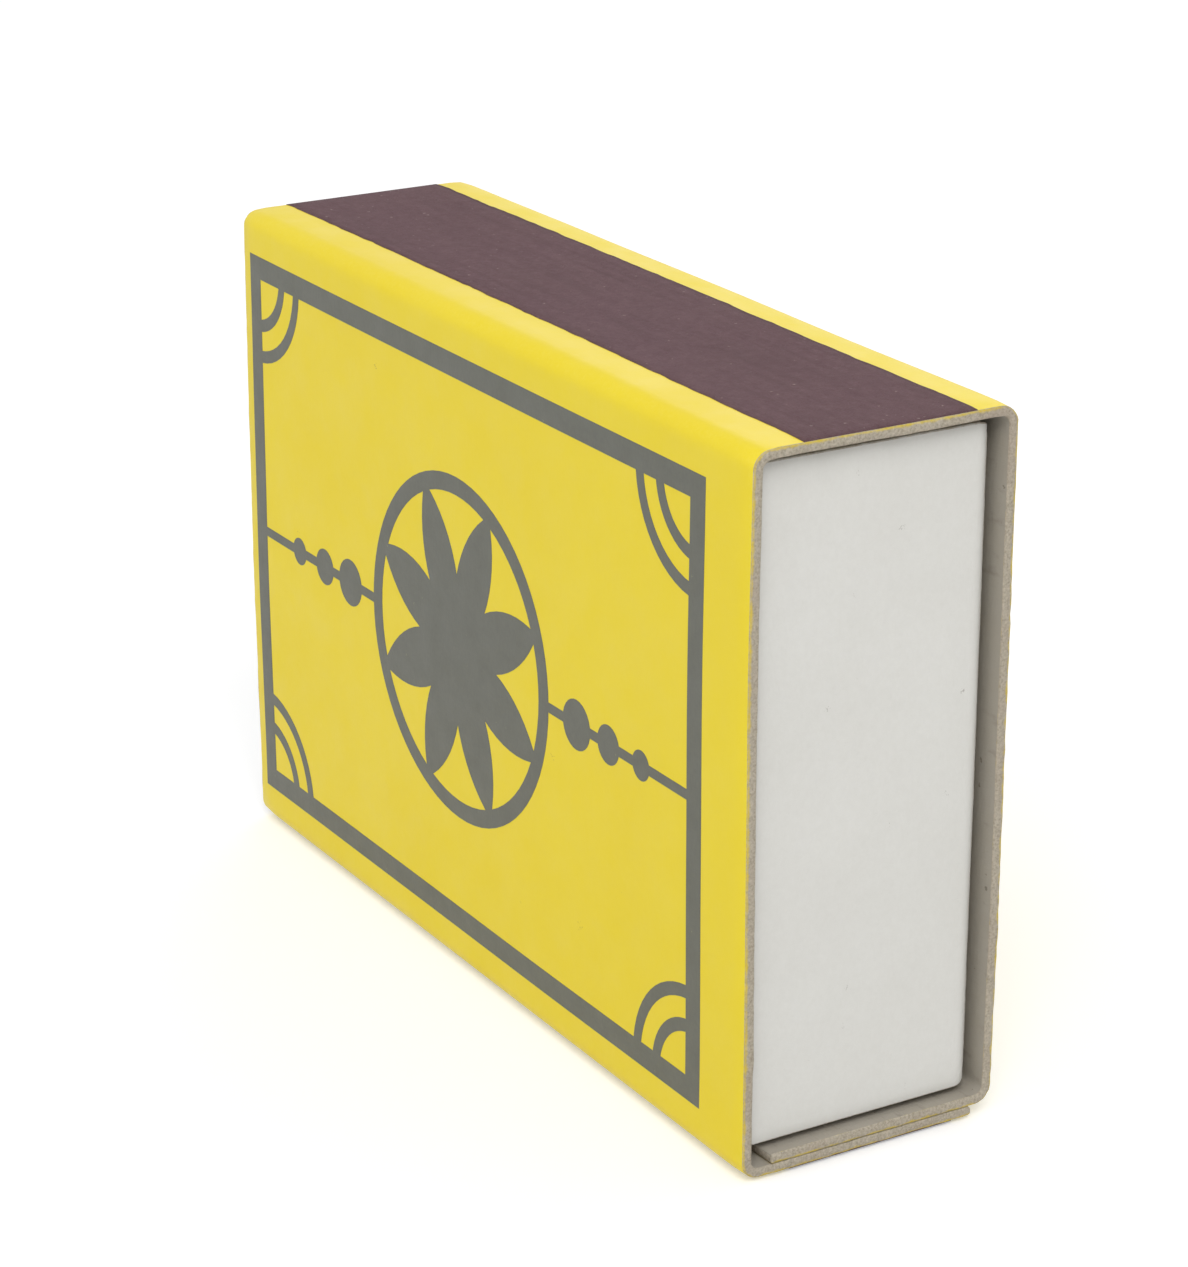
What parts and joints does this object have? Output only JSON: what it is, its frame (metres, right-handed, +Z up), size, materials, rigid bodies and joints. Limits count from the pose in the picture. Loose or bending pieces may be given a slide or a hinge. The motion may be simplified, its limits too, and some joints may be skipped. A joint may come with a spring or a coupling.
{
  "type": "matchbox",
  "caption": "Small card matchbox: a printed yellow sleeve with striker strips on both narrow sides and a white slide-out tray of wooden safety matches.",
  "frame": {"origin": "middle of the footprint, on the surface that the box stands on, with the box on one striker side", "axes": "+X along the tray's slide, towards the end that faces right in the picture; the front label faces -Y; +Z up, from one striker side to the other"},
  "size_m": [0.053, 0.015, 0.0373],
  "materials": {
    "sleeve_board": "printed greyboard, semi-matt yellow",
    "striker_coat": "rough matt dark red-brown coat",
    "label_ink": "dark grey print",
    "tray_board": "matt white-faced board",
    "match_wood": "pale sawn wood with a dark dipped head"
  },
  "bodies": {
    "sleeve": {"sleeve": "sleeve_board", "striker_coat_top": "striker_coat", "striker_coat_bottom": "striker_coat", "label_print_front": "label_ink", "label_print_back": "label_ink"},
    "tray": {"tray": "tray_board", "match_01": "match_wood", "match_02": "match_wood", "match_03": "match_wood", "match_04": "match_wood", "match_05": "match_wood", "match_06": "match_wood", "match_07": "match_wood", "match_08": "match_wood", "match_09": "match_wood", "match_10": "match_wood", "match_11": "match_wood", "match_12": "match_wood", "match_13": "match_wood", "match_14": "match_wood", "match_15": "match_wood", "match_16": "match_wood", "match_17": "match_wood", "match_18": "match_wood", "match_19": "match_wood", "match_20": "match_wood", "match_21": "match_wood", "match_22": "match_wood", "match_23": "match_wood", "match_24": "match_wood", "match_25": "match_wood", "match_26": "match_wood", "match_27": "match_wood", "match_28": "match_wood", "match_29": "match_wood", "match_30": "match_wood", "match_31": "match_wood", "match_32": "match_wood", "match_33": "match_wood", "match_34": "match_wood", "match_35": "match_wood", "match_36": "match_wood", "match_37": "match_wood", "match_38": "match_wood"}
  },
  "joints": [
    {"name": "tray_slide", "type": "slide", "parent": "sleeve", "child": "tray", "axis": [1, 0, 0], "range_m": [-0.04, 0.04]}
  ]
}
